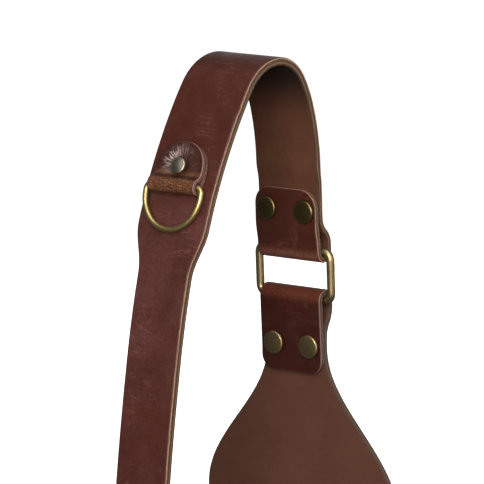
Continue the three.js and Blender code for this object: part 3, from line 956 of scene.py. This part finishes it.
strap = LeatherStrip(
    strap_front,
    strap_back,
    LEATHER,
    strap_outline,
    (TAIL_END_RADIUS, STRAP_FLAP_CORNER),
    STRAP_STEP,
    STRAP_COLUMNS,
    STRAP_RIM,
    strap_pared,
)
strap.holes = [
    (0.0, FIRST_HOLE + i * HOLE_PITCH - strap_front.length, HOLE_RADIUS) for i in range(HOLE_COUNT)
]
strap_piece = strap.build("strap_leather", Matrix.Identity(4), strap_materials, press_strap)
fit(strap_piece, "strap", "strap_leather", "shoulder_strap")

panel = LeatherStrip(
    panel_flap,
    panel_back,
    SKIVED,
    panel_outline,
    (PANEL_FLAP_CORNER, PANEL_CORNER),
    STRAP_STEP,
    PANEL_COLUMNS,
    STRAP_RIM,
)
panel_piece = panel.build("panel_leather", link_frame, panel_materials, press_panel)
fit(panel_piece, "panel", "panel_leather", "back_panel")

tab = LeatherStrip(
    tab_under,
    tab_over,
    TAB_LEATHER,
    tab_outline,
    (TAB_CORNER, TAB_CORNER),
    TAB_STEP,
    TAB_COLUMNS,
    TAB_RIM,
)
tab_piece = tab.build("tab_leather", tab_frame, tab_materials, press_tab, tab_gathers)
fit(tab_piece, "strap", "tab_leather", "d_ring_tab")

ring_frame = tab_frame @ Matrix.Translation(d_bar) @ Matrix.Rotation(math.radians(D_REST_ANGLE), 4, "X")
d_ring = wire_ring("d_ring_wire", d_path(), D_WIRE, ring_frame, ring_brass)
fit(d_ring, "d_ring", "ring_brass", "d_ring")
link_ring = wire_ring("link_ring_wire", link_path(), LINK_WIRE, link_frame, link_brass)
fit(link_ring, "link", "link_brass", "link_ring")


def rivet_pair(name, body, base, at, height, cap, sink, metal, slot):
    """A cap and its post through a stack of leather that runs from at towards -Y in the base's frame."""
    outward = Matrix.Rotation(math.pi, 4, "X")
    front = base @ Matrix.Translation(at + Vector((0, -height - GAP, 0))) @ outward
    piece = turned(f"{name}_cap_brass", *cap_profile(*cap, sink), front, metal)
    fit(piece, body, slot, f"{name}_cap")
    back = base @ Matrix.Translation(at + Vector((0, GAP, 0))) @ outward
    profile = post_profile(*RIVET_BACK, height + GAP + cap[1] / 2)
    piece = turned(f"{name}_post_brass", *profile, back, rivet_brass)
    fit(piece, body, "rivet_brass", f"{name}_post")


tab_rivet = (tab_frame, Vector((0, LEATHER, 0)), tab_stack, TAB_CAP, TAB_CAP_SINK)
rivet_pair("tab_rivet", "strap", *tab_rivet, pale_brass, "tab_rivet_brass")
# the panel's caps use the paler copy of the rivet brass: painted light
for body, rivets, metal in (("strap", strap_rivets, rivet_brass), ("panel", panel_rivets, lit_rivet_brass)):
    for hand, (x, z, back, _) in zip(("left", "right"), rivets):
        rivet = (link_frame, Vector((x, back, z)), stack, RIVET_CAP, CAP_SINK)
        rivet_pair(f"{body}_rivet_{hand}", body, *rivet, metal, "rivet_brass")

strap.flat_size()
strap.flat_area()
panel.flat_size()
panel.flat_area()
tab.flat_size()
tab.flat_area()

# ---- floor, light and camera ----

FLOOR_DROP = 0.16  # metres below the part, which hangs
FLOOR_RADIUS = 9.0
AIM = Vector((3.757, -8.123, -84.753)) * MM
VIEW = (40.0, 8.8)  # azimuth and elevation in degrees
VIEW_DISTANCE = 2.5
LENS = 391.5
FARTHEST_SEEN = 40.0
WORLD_STRENGTH = 0.1
WHITE = (1, 1, 1, 1)


def pale_floor():
    finish = Finish("pale_floor", Base_Color=(0.9, 0.9, 0.9, 1), Roughness=0.9, Emission_Strength=1.0)
    finish.shader.inputs["Emission Color"].default_value = WHITE
    speck = finish.noise(finish.place(), 30, 3.0)
    finish.drive("Roughness", finish.reach(speck, 0.3, 0.7, 0.85, 0.95))
    mesh = bpy.data.meshes.new("floor")
    work = bmesh.new()
    bmesh.ops.create_circle(work, cap_ends=True, segments=96, radius=FLOOR_RADIUS)
    work.to_mesh(mesh)
    work.free()
    mesh.materials.append(finish.material)
    floor = bpy.data.objects.new("floor", mesh)
    floor.location.z = cad_box[0].z - FLOOR_DROP
    floor.visible_diffuse = False
    floor.visible_glossy = False
    bpy.context.scene.collection.objects.link(floor)


def toward(azimuth, elevation):
    """The direction to an azimuth, where 0 is -Y and 90 is +X, and an elevation, in degrees."""
    a, e = math.radians(azimuth), math.radians(elevation)
    return Vector((math.sin(a) * math.cos(e), -math.cos(a) * math.cos(e), math.sin(e)))


def softbox(name, azimuth, elevation, distance, size, power, gloss_only=False):
    light = bpy.data.lights.new(name, "AREA")
    light.shape = "RECTANGLE"
    light.size, light.size_y = size
    light.energy = power
    holder = bpy.data.objects.new(name, light)
    way = toward(azimuth, elevation)
    holder.location = AIM + way * distance
    holder.rotation_mode = "QUATERNION"
    holder.rotation_quaternion = way.to_track_quat("Z", "Y")
    holder.visible_camera = False
    holder.visible_diffuse = not gloss_only
    bpy.context.scene.collection.objects.link(holder)


pale_floor()
softbox("key", 35, 16, 1.5, (1.3, 1.1), 34)
softbox("right", 100, 15, 1.6, (0.6, 1.4), 6)
softbox("upper_right", 60, 58, 1.4, (0.7, 0.7), 3)
softbox("back", 220, 16, 2.2, (1.8, 0.9), 3)
softbox("rear", 190, -8, 2.2, (1.6, 1.2), 40)
softbox("top", 15, 66, 1.5, (1.3, 0.8), 9, gloss_only=True)

world = bpy.data.worlds.new("studio")
world.use_nodes = True
world.node_tree.nodes["Background"].inputs["Color"].default_value = WHITE
world.node_tree.nodes["Background"].inputs["Strength"].default_value = WORLD_STRENGTH
bpy.context.scene.world = world

camera = bpy.data.objects.new("camera", bpy.data.cameras.new("camera"))
camera.data.lens = LENS
camera.data.clip_end = FARTHEST_SEEN
camera.location = AIM + toward(*VIEW) * VIEW_DISTANCE
camera.rotation_mode = "QUATERNION"
camera.rotation_quaternion = toward(*VIEW).to_track_quat("Z", "Y")
bpy.context.scene.collection.objects.link(camera)
bpy.context.scene.camera = camera
bpy.context.scene.view_settings.view_transform = "Standard"
